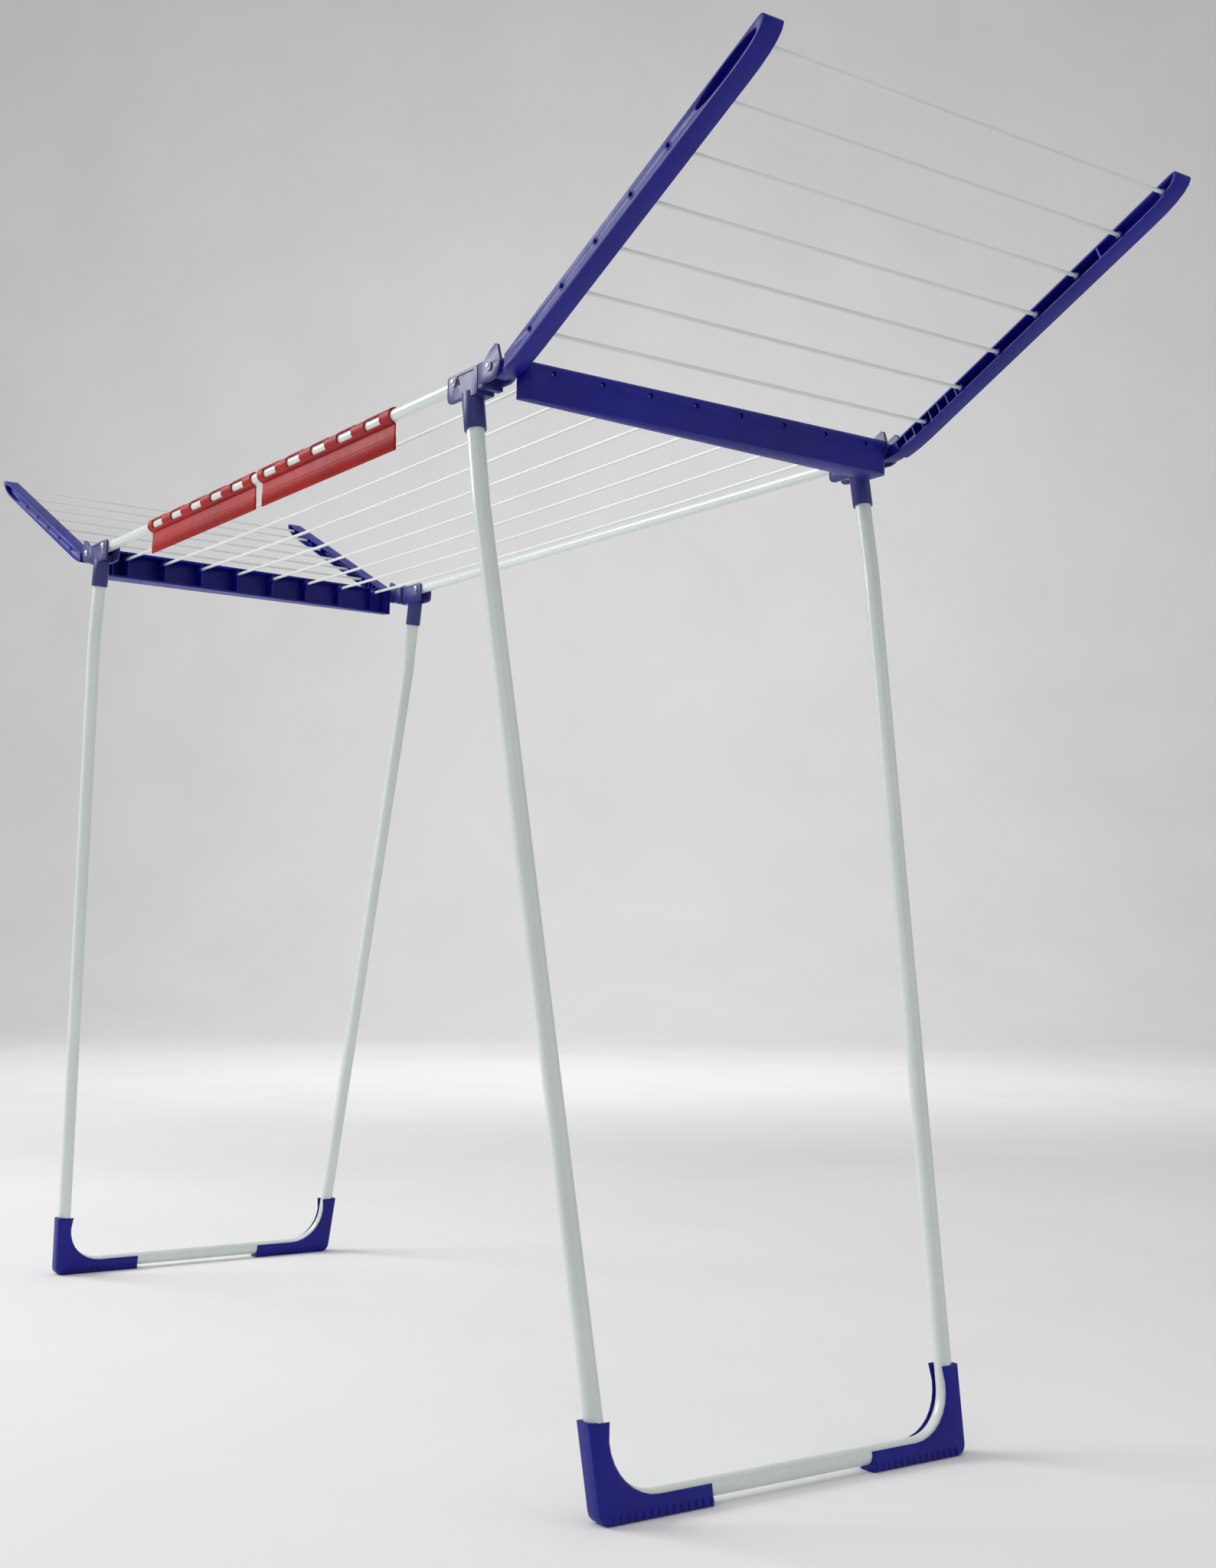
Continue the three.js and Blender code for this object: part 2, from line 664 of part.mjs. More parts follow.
function holder() {
  const left = -RAIL_Y;
  const band = new THREE.ExtrudeGeometry(holderSection(), {
    depth: HOLDER_LENGTH,
    bevelEnabled: false,
    curveSegments: 6,
  });
  standing(band).translate(0, left, RAIL_Z);
  const curtain = box(0, HOLDER_LENGTH, left - 1.2, left + 0.8, HOLDER_CURTAIN_Z, RAIL_Z - 8);
  let solid = solidOf(band).add(curtain);
  for (let i = 0; i < HOLDER_WINDOWS; i += 1) {
    const middle = HOLDER_WINDOW_PITCH * (i + 0.5);
    const x0 = middle - HOLDER_WINDOW_LENGTH / 2;
    solid = solid.subtract(
      box(x0, x0 + HOLDER_WINDOW_LENGTH, left - 11, left - 3.5, RAIL_Z - 6, RAIL_Z + 4.5),
    );
  }
  for (let i = 1; i < HOLDER_WINDOWS; i += 1) {
    const x0 = HOLDER_WINDOW_PITCH * i - HOLDER_TOP_WINDOW_LENGTH / 2;
    const x1 = x0 + HOLDER_TOP_WINDOW_LENGTH;
    solid = solid.subtract(box(x0, x1, left - 6.5, left + 6.5, RAIL_Z + 5.5, RAIL_Z + 11));
  }
  return geometryOf(solid);
}

function addTopFrame() {
  const railGeometry = geometryOf(rail());
  add("rail_right", railGeometry, tubeWhite);
  add("rail_left", railGeometry, tubeWhite).position.y = -2 * RAIL_Y;
  addAtEnds("end_bar", geometryOf(endBar()), armBlue);
  addAtCorners("corner", geometryOf(cornerPiece()), bracketBlue);
  addAtCorners("leg_rivet", legRivet(), rivetChrome);
  addAtCorners("wing_rivet", wingRivet(), rivetChrome);
  for (let i = 0; i < CENTRE_LINES; i += 1) {
    add(`centre_line_${i + 1}`, centreLine(), lineWhite).position.y = centreLineY(i);
  }
}

function addLegs() {
  const hollow = legHollow();
  addAtEnds("leg_tube", geometryOf(legTube()), tubeWhite);
  addAtCorners("leg_bracket", geometryOf(legBracket(hollow)), bracketBlue);
  addAtCorners("foot", geometryOf(foot(hollow)), armBlue);
}

function addWings() {
  addAtCorners("wing_arm", wingArm(), armBlue);
  for (let i = 0; i < WING_LINES; i += 1) {
    addAtEnds(`wing_line_${i + 1}`, wingLine(i), lineWhite);
  }
}

function addHolders() {
  const geometry = holder();
  add("holder_near", geometry, holderRed).position.x = HOLDER_NEAR_X0;
  add("holder_far", geometry, holderRed).position.x = HOLDER_FAR_X0;
}

addTopFrame();
addLegs();
addWings();
addHolders();

export default rack;
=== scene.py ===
import bpy
import math
from mathutils import Matrix, Vector


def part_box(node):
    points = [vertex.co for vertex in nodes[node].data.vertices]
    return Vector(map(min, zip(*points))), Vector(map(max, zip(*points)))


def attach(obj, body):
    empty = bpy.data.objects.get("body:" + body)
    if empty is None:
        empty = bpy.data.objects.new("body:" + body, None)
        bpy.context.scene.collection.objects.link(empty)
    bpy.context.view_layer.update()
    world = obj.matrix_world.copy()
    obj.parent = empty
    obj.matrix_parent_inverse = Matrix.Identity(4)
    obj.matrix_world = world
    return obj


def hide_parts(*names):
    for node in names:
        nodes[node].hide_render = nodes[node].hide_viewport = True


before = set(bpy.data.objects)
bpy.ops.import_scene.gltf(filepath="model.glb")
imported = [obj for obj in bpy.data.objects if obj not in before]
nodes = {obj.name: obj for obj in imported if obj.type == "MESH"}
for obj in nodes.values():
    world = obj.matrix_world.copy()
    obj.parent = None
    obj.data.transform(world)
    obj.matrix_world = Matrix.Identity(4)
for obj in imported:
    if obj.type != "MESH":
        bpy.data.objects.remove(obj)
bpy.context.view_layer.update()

MM = 0.001
ENDS = {"near": 1, "far": -1}
SIDES = {"left": -1, "right": 1}

# Leg frames lean out along X and flare along Y towards the top.
LEG_LEAN = 0.1815
LEG_X = 710 * MM
LEG_HALF_WIDTH = 212 * MM
LEG_FLARE = 0.0497
LEG_TOP_Y = 258.5 * MM
LEG_TOP_Z = 1041 * MM
LEG_FLOOR_Z = 14 * MM
LEG_PIVOT_X = 496 * MM
KNEE_RADIUS = 400 * MM
FLOOR_BEND_RADIUS = 55 * MM
RAIL_Y = 256 * MM
RAIL_Z = 1064 * MM

# Tubes: outside and inside radius, and sides round the section.
RAIL_TUBE = (7 * MM, 6.2 * MM)
LEG_TUBE = (9 * MM, 8.2 * MM)
TUBE_SIDES = 40
RAIL_STEPS = 24

# Lines across the bars and along the wings.
LINE_RADIUS = 2 * MM
CENTRE_LINES = 8
CENTRE_PITCH = 59 * MM
CENTRE_SAG = 5 * MM
CENTRE_STEPS = 40
LINE_SIDES = 20
CENTRE_LINE_Z = 1062 * MM
WING_PIVOT = Vector((563 * MM, 0, RAIL_Z))
WING_SLOPE = math.radians(25.67)
WING_LINES = 7
WING_STEPS = 20
THROUGH_HALF = 262 * MM
# The outer two lines end inside the arms, behind the grip recess.
GRIP_FROM = 5
GRIP_HALF = 255.6 * MM
LINE_V = -14.9 * MM
LINE_U0 = 73.2 * MM
LINE_PITCH = 59.5 * MM

# A rib up the side of a foot: height, distance from the middle, radius, in millimetres.
RIB_SECTIONS = (
    (1.9, 9.4, 1.8),
    (3.0, 10.9, 2.1),
    (4.6, 11.6, 2.2),
    (6.8, 11.6, 2.1),
    (8.8, 11.3, 1.7),
    (10.4, 10.7, 0.6),
)
RIB_PITCH = 8.3 * MM
RIB_START_Y = 102.166 * MM
FOOT_RIBS = 14

# Raised rings round the lines: radius and thickness.
ARM_OUTSIDE_Y = 266.5 * MM
ARM_OUTSIDE_RING = (3.7 * MM, 0.55 * MM)
ARM_INSIDE_Y = 248.7 * MM
ARM_INSIDE_RING = (3.5 * MM, 0.5 * MM)
BAR_OUTSIDE_X = 587 * MM
BAR_OUTSIDE_RING = (3.2 * MM, 0.35 * MM)
BAR_INSIDE_X = 558.6 * MM
BAR_INSIDE_RING = (3.9 * MM, 0.6 * MM)

# Holders.
BAND_INNER = 7.4 * MM
BAND_OUTER = 9.2 * MM
BAND_STEP = 6
# In millimetres, so that the end of one window is exactly the start of the next.
WINDOW_PITCH = 65
FRONT_WINDOW = 35
TOP_WINDOW = 30
FRINGE_PITCH = 4 * MM
FRINGE_CUTS = 6


# ---------------------------------------------------------------- materials
def new_material(name):
    material = bpy.data.materials.new(name)
    material.use_nodes = True
    tree = material.node_tree
    shader = tree.nodes["Principled BSDF"]
    return material, tree, shader


def noise(tree, scale, detail=4.0, rough=0.5, stretch=(1, 1, 1)):
    place = tree.nodes.new("ShaderNodeTexCoord")
    mapping = tree.nodes.new("ShaderNodeMapping")
    mapping.inputs["Scale"].default_value = stretch
    texture = tree.nodes.new("ShaderNodeTexNoise")
    texture.inputs["Scale"].default_value = scale
    texture.inputs["Detail"].default_value = detail
    texture.inputs["Roughness"].default_value = rough
    tree.links.new(place.outputs["Object"], mapping.inputs["Vector"])
    tree.links.new(mapping.outputs["Vector"], texture.inputs["Vector"])
    return texture.outputs["Fac"]


def spread(tree, value, low, high):
    remap = tree.nodes.new("ShaderNodeMapRange")
    remap.inputs["From Min"].default_value = 0.3
    remap.inputs["From Max"].default_value = 0.7
    remap.inputs["To Min"].default_value = low
    remap.inputs["To Max"].default_value = high
    tree.links.new(value, remap.inputs["Value"])
    return remap.outputs["Result"]


def tint(tree, value, shader, dark, light):
    mix = tree.nodes.new("ShaderNodeMix")
    mix.data_type = "RGBA"
    mix.inputs["A"].default_value = (*dark, 1)
    mix.inputs["B"].default_value = (*light, 1)
    tree.links.new(value, mix.inputs["Factor"])
    tree.links.new(mix.outputs["Result"], shader.inputs["Base Color"])


def relief(tree, shader, parts):
    """Bumps in a chain: parts is a list of (height value, strength, distance in metres)."""
    last = None
    for value, strength, distance in parts:
        bump = tree.nodes.new("ShaderNodeBump")
        bump.inputs["Strength"].default_value = strength
        bump.inputs["Distance"].default_value = distance
        tree.links.new(value, bump.inputs["Height"])
        if last is not None:
            tree.links.new(last, bump.inputs["Normal"])
        last = bump.outputs["Normal"]
    tree.links.new(last, shader.inputs["Normal"])


def moulded(name, dark, light, rough, coat):
    material, tree, shader = new_material(name)
    clouds = noise(tree, 9, 5, 0.6)
    grain = noise(tree, 1400, 2, 0.5)
    smears = noise(tree, 45, 4, 0.65, (1, 1, 0.35))
    tint(tree, spread(tree, clouds, 0, 1), shader, dark, light)
    tree.links.new(spread(tree, smears, rough - 0.05, rough + 0.08), shader.inputs["Roughness"])
    shader.inputs["Specular IOR Level"].default_value = 0.26
    shader.inputs["Coat Weight"].default_value = coat
    shader.inputs["Coat Roughness"].default_value = 0.32
    shader.inputs["Subsurface Weight"].default_value = 0.04
    shader.inputs["Subsurface Radius"].default_value = (0.3, 0.3, 0.6)
    shader.inputs["Subsurface Scale"].default_value = 0.002
    relief(tree, shader, [(grain, 0.12, 0.00006), (smears, 0.08, 0.0003)])
    return material


def coated(name, dark, light, rough, peel):
    material, tree, shader = new_material(name)
    clouds = noise(tree, 5, 4, 0.6)
    skin = noise(tree, peel, 2, 0.4)
    dust = noise(tree, 70, 6, 0.7)
    tint(tree, spread(tree, clouds, 0, 1), shader, dark, light)
    tree.links.new(spread(tree, dust, rough - 0.04, rough + 0.09), shader.inputs["Roughness"])
    shader.inputs["Coat Weight"].default_value = 0.35
    shader.inputs["Coat Roughness"].default_value = 0.18
    relief(tree, shader, [(skin, 0.05, 0.00003)])
    return material


def plated(name):
    material, tree, shader = new_material(name)
    wear = noise(tree, 260, 6, 0.7)
    scratch = noise(tree, 900, 3, 0.5, (1, 0.1, 1))
    tint(tree, spread(tree, wear, 0, 1), shader, (0.50, 0.51, 0.53), (0.74, 0.75, 0.77))
    tree.links.new(spread(tree, wear, 0.12, 0.26), shader.inputs["Roughness"])
    shader.inputs["Metallic"].default_value = 1.0
    relief(tree, shader, [(scratch, 0.08, 0.00005)])
    return material


def backdrop_paint():
    material, tree, shader = new_material("studio_sweep")
    clouds = noise(tree, 1.5, 3, 0.5)
    tint(tree, spread(tree, clouds, 0, 1), shader, (0.86, 0.86, 0.86), (0.90, 0.90, 0.90))
    shader.inputs["Roughness"].default_value = 0.85
    return material


BLUE = moulded("blue_polypropylene", (0.0030, 0.0028, 0.170), (0.0050, 0.0050, 0.270), 0.42, 0.06)
SLATE = moulded("slate_polypropylene", (0.020, 0.022, 0.150), (0.030, 0.034, 0.205), 0.40, 0.30)
RED = moulded("red_polypropylene", (0.30, 0.001, 0.002), (0.44, 0.002, 0.003), 0.46, 0.0)
TUBE = coated("white_powder_coat", (0.66, 0.72, 0.68), (0.74, 0.79, 0.76), 0.24, 420)
LINE = coated("white_line_coating", (0.70, 0.75, 0.72), (0.80, 0.84, 0.82), 0.34, 900)
CHROME = plated("bright_plating")


# ---------------------------------------------------------------- mesh helpers
def add_mesh(name, verts, faces, material, body):
    mesh = bpy.data.meshes.new(name)
    mesh.from_pydata([tuple(v) for v in verts], [], faces)
    mesh.validate()
    mesh.update()
    for polygon in mesh.polygons:
        polygon.use_smooth = True
    mesh.set_sharp_from_angle(angle=math.radians(38))
    mesh.materials.append(material)
    obj = bpy.data.objects.new(name, mesh)
    bpy.context.scene.collection.objects.link(obj)
    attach(obj, body)
    return obj


class Shape:
    """Vertices and faces gathered for one piece."""

    def __init__(self):
        self.verts = []
        self.faces = []

    def add(self, verts, faces):
        base = len(self.verts)
        self.verts.extend(Vector(v) for v in verts)
        self.faces.extend([base + i for i in face] for face in faces)

    def sweep(self, points, radius, sides, capped=True):
        """A round rod through points. radius is one number or one for each point."""
        count = len(points)
        radii = radius if isinstance(radius, list) else [radius] * count
        tangents = []
        for i in range(count):
            ahead = points[min(i + 1, count - 1)] - points[max(i - 1, 0)]
            tangents.append(ahead.normalized())
        normal = tangents[0].orthogonal().normalized()
        verts = []
        for i in range(count):
            if i:
                turn = tangents[i - 1].rotation_difference(tangents[i])
                normal = (turn @ normal).normalized()
            other = tangents[i].cross(normal)
            for k in range(sides):
                angle = 2 * math.pi * k / sides
                spoke = normal * math.cos(angle) + other * math.sin(angle)
                verts.append(points[i] + spoke * radii[i])
        faces = []
        for i in range(count - 1):
            for k in range(sides):
                n = (k + 1) % sides
                a, b = i * sides + k, i * sides + n
                faces.append([a, b, b + sides, a + sides])
        if capped:
            faces.append(list(range(sides))[::-1])
            faces.append([(count - 1) * sides + k for k in range(sides)])
        self.add(verts, faces)

    def lathe(self, origin, axis, profile, sides):
        """profile is a list of (radius, distance along axis)."""
        axis = axis.normalized()
        normal = axis.orthogonal().normalized()
        other = axis.cross(normal)
        verts = []
        for radius, along in profile:
            for k in range(sides):
                angle = 2 * math.pi * k / sides
                spoke = normal * math.cos(angle) + other * math.sin(angle)
                verts.append(origin + axis * along + spoke * max(radius, 1e-6))
        faces = []
        for i in range(len(profile) - 1):
            for k in range(sides):
                n = (k + 1) % sides
                a, b = i * sides + k, i * sides + n
                faces.append([a, b, b + sides, a + sides])
        self.add(verts, faces)

    def dome(self, origin, axis, radius, height, sides=32, steps=10, lip=0.0004):
        profile = [(radius, 0), (radius, lip)]
        for i in range(1, steps + 1):
            angle = math.pi / 2 * i / steps
            profile.append((radius * math.cos(angle), lip + (height - lip) * math.sin(angle)))
        self.lathe(origin, axis, profile, sides)

    def ring(self, origin, axis, radius, thick, sides=32, around=10):
        axis = axis.normalized()
        normal = axis.orthogonal().normalized()
        other = axis.cross(normal)
        verts = []
        for k in range(sides):
            angle = 2 * math.pi * k / sides
            spoke = normal * math.cos(angle) + other * math.sin(angle)
            for j in range(around):
                roll = 2 * math.pi * j / around
                reach = radius + thick * math.cos(roll)
                verts.append(origin + spoke * reach + axis * thick * math.sin(roll))
        faces = []
        for k in range(sides):
            for j in range(around):
                a, b = k * around + j, k * around + (j + 1) % around
                c = ((k + 1) % sides) * around
                faces.append([a, b, c + (j + 1) % around, c + j])
        self.add(verts, faces)

    def make(self, name, material, body):
        return add_mesh(name, self.verts, self.faces, material, body)


def arc(before, corner, after, radius, steps):
    """Points round a bend that replaces corner and touches both of its straight sides."""
    back = (before - corner).normalized()
    ahead = (after - corner).normalized()
    half = math.acos(max(-1, min(1, back.dot(ahead)))) / 2
    centre = corner + (back + ahead).normalized() * (radius / math.sin(half))
    first = corner + back * (radius / math.tan(half)) - centre
    last = corner + ahead * (radius / math.tan(half)) - centre
    points = []
    for i in range(steps + 1):
        points.append(centre + first.normalized().slerp(last.normalized(), i / steps) * radius)
    return points


def on_wing(end, u, v, y):
    """A point given out along a wing, up from it and across it."""
    c, s = math.cos(WING_SLOPE), math.sin(WING_SLOPE)
    x = WING_PIVOT.x + u * c - v * s
    return Vector((ENDS[end] * x, y, WING_PIVOT.z + u * s + v * c))


# ---------------------------------------- CAD pieces kept, softened and painted
def soften(name, material, width, segments=2, angle=38):
    obj = nodes[name]
    obj.data.materials.clear()
    obj.data.materials.append(material)
    for polygon in obj.data.polygons:
        polygon.use_smooth = True
        polygon.material_index = 0
    weld = obj.modifiers.new("weld", "WELD")
    weld.merge_threshold = 0.00001
    bevel = obj.modifiers.new("edges", "BEVEL")
    bevel.width = width
    bevel.segments = segments
    bevel.limit_method = "ANGLE"
    bevel.angle_limit = math.radians(angle)
    bevel.harden_normals = True
    bevel.use_clamp_overlap = True


for end in ENDS:
    soften(f"end_bar_{end}", BLUE, 0.0006)
    for side in SIDES:
        soften(f"corner_{end}_{side}", SLATE, 0.0005)
        soften(f"leg_bracket_{end}_{side}", SLATE, 0.0006)
        soften(f"foot_{end}_{side}", BLUE, 0.0007)
        soften(f"wing_arm_{end}_{side}", BLUE, 0.0006)


# ---------------------------------------------------------------- rails, lines and legs
def tube_with_lip(shape, points, radius, bore):
    """An open tube along points, with a flat rim closing its wall at each end."""
    shape.sweep(points, radius, TUBE_SIDES, capped=False)
    shape.sweep(points[::-1], bore, TUBE_SIDES, capped=False)
    for index, flip in ((0, 1), (-1, -1)):
        tangent = (points[index] - points[index + flip]).normalized()
        shape.lathe(points[index], tangent, [(radius, 0), (bore, 0)], TUBE_SIDES)


for side, sy in SIDES.items():
    rail = Shape()
    low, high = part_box(f"rail_{side}")
    length = high[0] - low[0]
    along = [low[0] + length * i / RAIL_STEPS for i in range(RAIL_STEPS + 1)]
    points = [Vector((x, sy * RAIL_Y, RAIL_Z)) for x in along]
    tube_with_lip(rail, points, *RAIL_TUBE)
    piece = rail.make(f"rail_tube_{side}", TUBE, "top_frame")
    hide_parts(f"rail_{side}")

for i in range(CENTRE_LINES):
    low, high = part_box(f"centre_line_{i + 1}")
    y = (low[1] + high[1]) / 2
    half = high[0]
    top = high[2] - LINE_RADIUS
    points = []
    for k in range(CENTRE_STEPS + 1):
        x = -half + 2 * half * k / CENTRE_STEPS
        points.append(Vector((x, y, top - CENTRE_SAG * (1 - (x / half) ** 2))))
    wire = Shape()
    wire.sweep(points, LINE_RADIUS, LINE_SIDES)
    piece = wire.make(f"centre_wire_{i + 1}", LINE, "top_frame")
    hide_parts(f"centre_line_{i + 1}")

for end in ENDS:
    for i in range(WING_LINES):
        half = GRIP_HALF if i >= GRIP_FROM else THROUGH_HALF
        u = LINE_U0 + LINE_PITCH * i
        across = [-half + 2 * half * k / WING_STEPS for k in range(WING_STEPS + 1)]
        points = [on_wing(end, u, LINE_V, y) for y in across]
        wire = Shape()
        wire.sweep(points, LINE_RADIUS, LINE_SIDES)
        piece = wire.make(f"wing_wire_{i + 1}_{end}", LINE, f"{end}_wing")
        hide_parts(f"wing_line_{i + 1}_{end}")


def leg_points(end):
    """The centreline of one leg frame, from one bracket round to the other."""
    corner_y = LEG_HALF_WIDTH + LEG_FLARE * LEG_FLOOR_Z
    top = Vector((LEG_TOP_Y, LEG_TOP_Z, 0))
    knee = Vector((LEG_TOP_Y, (LEG_TOP_Y - LEG_HALF_WIDTH) / LEG_FLARE, 0))
    corner = Vector((corner_y, LEG_FLOOR_Z, 0))
    middle = Vector((0, LEG_FLOOR_Z, 0))
    plane = [top]
    plane.extend(arc(top, knee, corner, KNEE_RADIUS, 6))
    plane.extend(arc(knee, corner, middle, FLOOR_BEND_RADIUS, 24))
    plane.extend([Vector((-p.x, p.y, 0)) for p in plane[::-1]])
    return [Vector((ENDS[end] * (LEG_X - LEG_LEAN * p.y), p.x, p.y)) for p in plane]


for end in ENDS:
    leg = Shape()
    tube_with_lip(leg, leg_points(end), *LEG_TUBE)
    piece = leg.make(f"leg_frame_{end}", TUBE, f"{end}_legs")
    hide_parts(f"leg_tube_{end}")


# ---------------------------------------------------------------- rivets
SHAFT_RADIUS = 2.4 * MM
HEAD_RADIUS = 4.6 * MM
HEAD_HEIGHT = 3.2 * MM
HEAD_BACK = [(HEAD_RADIUS, 0), (0, 0)]
LEG_RIVET_ENDS = (245.4 * MM, 266.6 * MM)
WING_RIVET_ENDS = (243 * MM, 266.7 * MM)


def build_rivet(name, stands_for, at, out, ends, two_heads):
    """A shaft between two ends along out, with a domed head outside, or on both ends."""
    inner, outer = ends
    rivet = Shape()
    rivet.dome(at + out * outer, out, HEAD_RADIUS, HEAD_HEIGHT)
    if two_heads:
        rivet.dome(at + out * inner, -out, HEAD_RADIUS, HEAD_HEIGHT)
    rivet.sweep([at + out * inner, at + out * outer], SHAFT_RADIUS, 24)
    rivet.lathe(at + out * outer, out, HEAD_BACK, 32)
    if two_heads:
        rivet.lathe(at + out * inner, out, HEAD_BACK, 32)
    piece = rivet.make(name, CHROME, "top_frame")
    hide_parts(stands_for)


for end, sx in ENDS.items():
    for side, sy in SIDES.items():
        corner = f"{end}_{side}"
        out = Vector((0, sy, 0))
        leg_at = Vector((sx * LEG_PIVOT_X, 0, RAIL_Z))
        wing_at = Vector((sx * WING_PIVOT.x, 0, RAIL_Z))
        leg_names = f"leg_bolt_{corner}", f"leg_rivet_{corner}"
        wing_names = f"wing_bolt_{corner}", f"wing_rivet_{corner}"
        build_rivet(*leg_names, leg_at, out, LEG_RIVET_ENDS, True)
        build_rivet(*wing_names, wing_at, out, WING_RIVET_ENDS, False)


# ---------------------------------------- moulded detail on the arms, bars and feet
def arm_collars(end, side, sy):
    """Raised rings where the lines enter an arm: on both faces, or only inside at the grip."""
    out = Vector((0, sy, 0))
    collars = Shape()
    for i in range(WING_LINES):
        u = LINE_U0 + LINE_PITCH * i
        if i < GRIP_FROM:
            outside = on_wing(end, u, LINE_V, sy * ARM_OUTSIDE_Y)
            collars.ring(outside, out, *ARM_OUTSIDE_RING)
        inside = on_wing(end, u, LINE_V, sy * ARM_INSIDE_Y)
        collars.ring(inside, out, *ARM_INSIDE_RING)
    collars.make(f"arm_collars_{end}_{side}", BLUE, f"{end}_wing")


def foot_ribs(end, side, sx, sy):
    """Ribs that wrap from under a foot up both of its faces."""
    ribs = Shape()
    for k in range(FOOT_RIBS):
        y = sy * (RIB_START_Y + RIB_PITCH * k)
        for face in (-1, 1):
            points = []
            for height, reach, _ in RIB_SECTIONS:
                x = LEG_X - LEG_LEAN * height * MM + face * reach * MM
                points.append(Vector((sx * x, y, height * MM)))
            ribs.sweep(points, [radius * MM for _, _, radius in RIB_SECTIONS], 14)
    ribs.make(f"foot_ribs_{end}_{side}", BLUE, f"{end}_legs")


def bar_collars(end, sx):
    """Rings at the holes in an end bar's outer face, and at the ends of its inner bosses."""
    sockets = Shape()
    for i in range(CENTRE_LINES):
        y = (i - (CENTRE_LINES - 1) / 2) * CENTRE_PITCH
        outside = Vector((sx * BAR_OUTSIDE_X, y, CENTRE_LINE_Z))
        inside = Vector((sx * BAR_INSIDE_X, y, CENTRE_LINE_Z))
        sockets.ring(outside, Vector((sx, 0, 0)), *BAR_OUTSIDE_RING)
        sockets.ring(inside, Vector((-sx, 0, 0)), *BAR_INSIDE_RING)
    sockets.make(f"bar_collars_{end}", BLUE, "top_frame")


for end, sx in ENDS.items():
    for side, sy in SIDES.items():
        arm_collars(end, side, sy)
        foot_ribs(end, side, sx, sy)
    bar_collars(end, sx)


# ---------------------------------------------------------------- holders
def windows(x0, centres, length):
    """Start and end along the rail of each window, from centres counted in window pitches."""
    middles = [at * WINDOW_PITCH for at in centres]
    half = length / 2
    return [(x0 + (middle - half) * MM, x0 + (middle + half) * MM) for middle in middles]


def add_shell(shape, a, b, run):
    """One stretch of band between two ends and over a run of angles."""
    verts = []
    for x in (a, b):
        for radius in (BAND_OUTER, BAND_INNER):
            for angle in run:
                t = math.radians(angle)
                verts.append((x, -RAIL_Y + radius * math.cos(t), RAIL_Z + radius * math.sin(t)))
    n = len(run)
    faces = []
    for k in range(n - 1):
        faces.append([k, k + 1, 2 * n + k + 1, 2 * n + k])
        faces.append([n + k + 1, n + k, 3 * n + k, 3 * n + k + 1])
        faces.append([k + 1, k, n + k, n + k + 1])
        faces.append([2 * n + k, 2 * n + k + 1, 3 * n + k + 1, 3 * n + k])
    faces.append([0, 2 * n, 3 * n, n])
    faces.append([n - 1, 2 * n - 1, 4 * n - 1, 3 * n - 1])
    shape.add(verts, faces)


def holder_band(end, x0, x1):
    """The clip round the rail, with windows in its front and, between them, in its top."""
    front = windows(x0, [i + 0.5 for i in range(5)], FRONT_WINDOW)
    top = windows(x0, range(1, 5), TOP_WINDOW)
    cuts = sorted({x0, x1} | {edge for pair in front + top for edge in pair})
    angles = list(range(-20, 271, BAND_STEP))
    shape = Shape()

    def closed(x, angle):
        """Whether the band has material here: the front faces away from the rack, at 180."""
        if any(a < x < b for a, b in front) and 150 < angle < 222:
            return False
        return not (any(a < x < b for a, b in top) and 38 < angle < 142)

    for a, b in zip(cuts, cuts[1:]):
        middle = (a + b) / 2
        run = []
        for angle in angles:
            is_closed = closed(middle, angle)
            if is_closed:
                run.append(angle)
            if (not is_closed or angle == angles[-1]) and len(run) > 1:
                add_shell(shape, a, b, run)
                run = []
            elif not is_closed:
                run = []
    band = shape.make(f"holder_band_{end}", RED, f"{end}_holder")
    weld = band.modifiers.new("weld", "WELD")
    weld.merge_threshold = 0.00002
    bevel = band.modifiers.new("edges", "BEVEL")
    bevel.width = 0.0003
    bevel.segments = 2
    bevel.limit_method = "ANGLE"
    bevel.angle_limit = math.radians(40)
    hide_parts(f"holder_{end}")


def curtain_sheet(curtain, x0, x1, bottom, crown, columns):
    """A thin closed sheet, corrugated on both faces below its top strip."""
    rows = [bottom + rise * MM for rise in (0, 2.2, 5, 12, 16)] + [crown]
    width = columns + 1
    verts = []
    for face in (-1, 1):
        for r, z in enumerate(rows):
            for c in range(width):
                wave = math.cos(2 * math.pi * c / FRINGE_CUTS)
                depth = (0.80 + (0.55 * wave if r < 4 else 0.0)) * MM
                drop = 0.5 * MM * wave if r == 0 else 0
                x = x0 + (x1 - x0) * c / columns
                verts.append((x, CURTAIN_Y + face * depth, z - drop))
    back = len(rows) * width
    faces = []
    for base, turned in ((0, False), (back, True)):
        for r in range(len(rows) - 1):
            for c in range(columns):
                a = base + r * width + c
                quad = [a, a + 1, a + width + 1, a + width]
                faces.append(quad[::-1] if turned else quad)
    top = (len(rows) - 1) * width
    for c in range(columns):
        faces.append([c + 1, c, back + c, back + c + 1])
        faces.append([top + c, top + c + 1, back + top + c + 1, back + top + c])
    for c, turned in ((0, False), (columns, True)):
        for r in range(len(rows) - 1):
            a, b = r * width + c, (r + 1) * width + c
            quad = [a, b, back + b, back + a]
            faces.append(quad[::-1] if turned else quad)
    curtain.add(verts, faces)


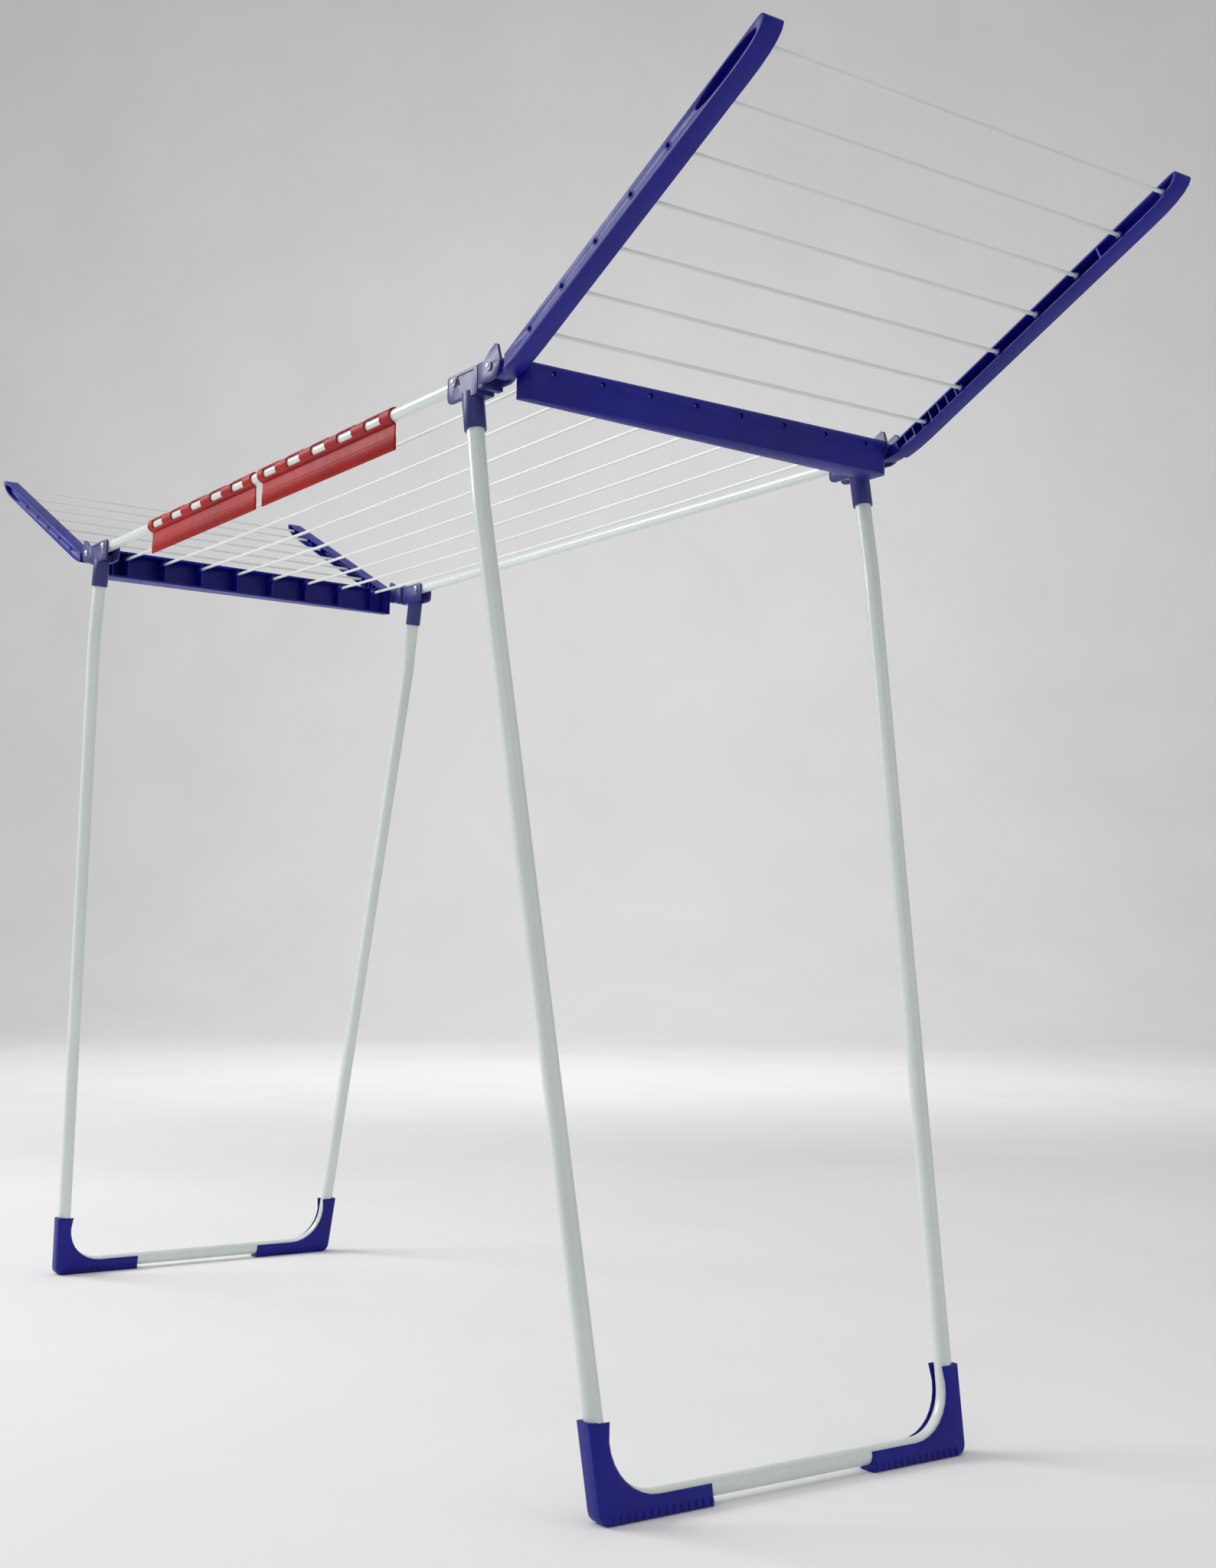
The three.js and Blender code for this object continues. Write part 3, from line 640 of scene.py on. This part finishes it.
def holder_curtain(end, x0, x1, bottom, crown):
    """The fringe below the clip, with a bead at the foot of every strand."""
    curtain = Shape()
    count = int((x1 - x0) / FRINGE_PITCH)
    curtain_sheet(curtain, x0, x1, bottom, crown, count * FRINGE_CUTS)
    profile = [(0, 0), (0.9, 0.4), (1.15, 1.2), (0.9, 2.0), (0, 2.6)]
    bead = [(radius * MM, rise * MM) for radius, rise in profile]
    for k in range(count + 1):
        x = min(x0 + FRINGE_PITCH * k + 1.2 * MM, x1 - 1.2 * MM)
        curtain.lathe(Vector((x, CURTAIN_Y, bottom - 0.9 * MM)), Vector((0, 0, 1)), bead, 12)
    curtain.make(f"holder_curtain_{end}", RED, f"{end}_holder")


def holder_beads(end, x0, x1, heights):
    """Raised beads along the curtain's top strip."""
    lips = Shape()
    for z in heights:
        start = Vector((x0 + 0.4 * MM, CURTAIN_Y, z))
        stop = Vector((x1 - 0.4 * MM, CURTAIN_Y, z))
        lips.sweep([start, stop], 1.25 * MM, 12)
    lips.make(f"holder_beads_{end}", RED, f"{end}_holder")


CURTAIN_Y = -RAIL_Y - 0.2 * MM
for end in ENDS:
    low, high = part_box(f"holder_{end}")
    bottom, crown = low[2] + 0.6 * MM, RAIL_Z - 8.4 * MM
    holder_band(end, low[0], high[0])
    holder_curtain(end, low[0], high[0], bottom, crown)
    holder_beads(end, low[0], high[0], (crown - 1.0 * MM, bottom + 15.6 * MM))


# ---------------------------------------------------------------- studio
CAMERA_AT = (2.0835, -1.1842, 0.5101)
CAMERA_YAW = math.radians(144.963)
CAMERA_PITCH = math.radians(4.787)
CAMERA_ROLL = math.radians(0.828)
CAMERA_LENS = 42.81


def studio():
    """A floor that curves up into a backdrop, along the camera's line of sight."""
    profile = [(14, 0)]
    for i in range(13):
        angle = math.pi / 2 * i / 12
        profile.append((-7 - 3 * math.sin(angle), 3 - 3 * math.cos(angle)))
    profile.append((-10, 14))
    ahead = Vector((math.cos(CAMERA_YAW), math.sin(CAMERA_YAW), 0))
    across = Vector((-ahead.y, ahead.x, 0))
    verts = []
    for along, z in profile:
        for side in (-16, 16):
            point = ahead * -along + across * side
            verts.append((point.x, point.y, z))
    faces = [[2 * i, 2 * i + 1, 2 * i + 3, 2 * i + 2] for i in range(len(profile) - 1)]
    mesh = bpy.data.meshes.new("studio_sweep")
    mesh.from_pydata(verts, [], faces)
    for polygon in mesh.polygons:
        polygon.use_smooth = True
    mesh.materials.append(backdrop_paint())
    obj = bpy.data.objects.new("studio_sweep", mesh)
    bpy.context.scene.collection.objects.link(obj)


def lamp(name, place, target, size, power, colour=(1, 1, 1)):
    light = bpy.data.lights.new(name, "AREA")
    light.energy = power
    light.shape = "RECTANGLE"
    light.size, light.size_y = size
    light.color = colour
    obj = bpy.data.objects.new(name, light)
    obj.location = place
    obj.rotation_euler = (Vector(target) - Vector(place)).to_track_quat("-Z", "Y").to_euler()
    bpy.context.scene.collection.objects.link(obj)


studio()
lamp("key", (-2.6, -2.7, 2.9), (0.3, -0.2, 1.05), (2.4, 2.0), 120)
lamp("front", (3.2, -3.0, 2.6), (0, 0, 0.7), (2.6, 2.2), 14)
lamp("fill", (3.8, 2.0, 1.6), (0, 0, 0.8), (2.4, 2.4), 8, (0.96, 0.98, 1))
lamp("top", (0, 0, 4.6), (0, 0, 0.9), (3.5, 2.5), 36)
lamp("sweep", (-3.2, 2.4, 3.6), (-6.5, 4.6, 1.5), (4.0, 3.0), 110)
world = bpy.data.worlds.new("studio")
world.use_nodes = True
world.node_tree.nodes["Background"].inputs["Color"].default_value = (1, 1, 1, 1)
world.node_tree.nodes["Background"].inputs["Strength"].default_value = 0.42
bpy.context.scene.view_settings.view_transform = "Standard"
bpy.context.scene.world = world


def aim_camera():
    level = math.cos(CAMERA_PITCH)
    forward = Vector((math.cos(CAMERA_YAW) * level, math.sin(CAMERA_YAW) * level, 0))
    forward.z = math.sin(CAMERA_PITCH)
    right = forward.cross(Vector((0, 0, 1))).normalized()
    up = right.cross(forward)
    across = right * math.cos(CAMERA_ROLL) + up * math.sin(CAMERA_ROLL)
    rise = up * math.cos(CAMERA_ROLL) - right * math.sin(CAMERA_ROLL)
    data = bpy.data.cameras.new("camera")
    data.lens = CAMERA_LENS
    data.sensor_width = 36
    data.clip_start = 0.05
    data.clip_end = 60
    camera = bpy.data.objects.new("camera", data)
    basis = Matrix((across, rise, -forward)).transposed().to_4x4()
    camera.matrix_world = Matrix.Translation(CAMERA_AT) @ basis
    bpy.context.scene.collection.objects.link(camera)
    bpy.context.scene.camera = camera


aim_camera()
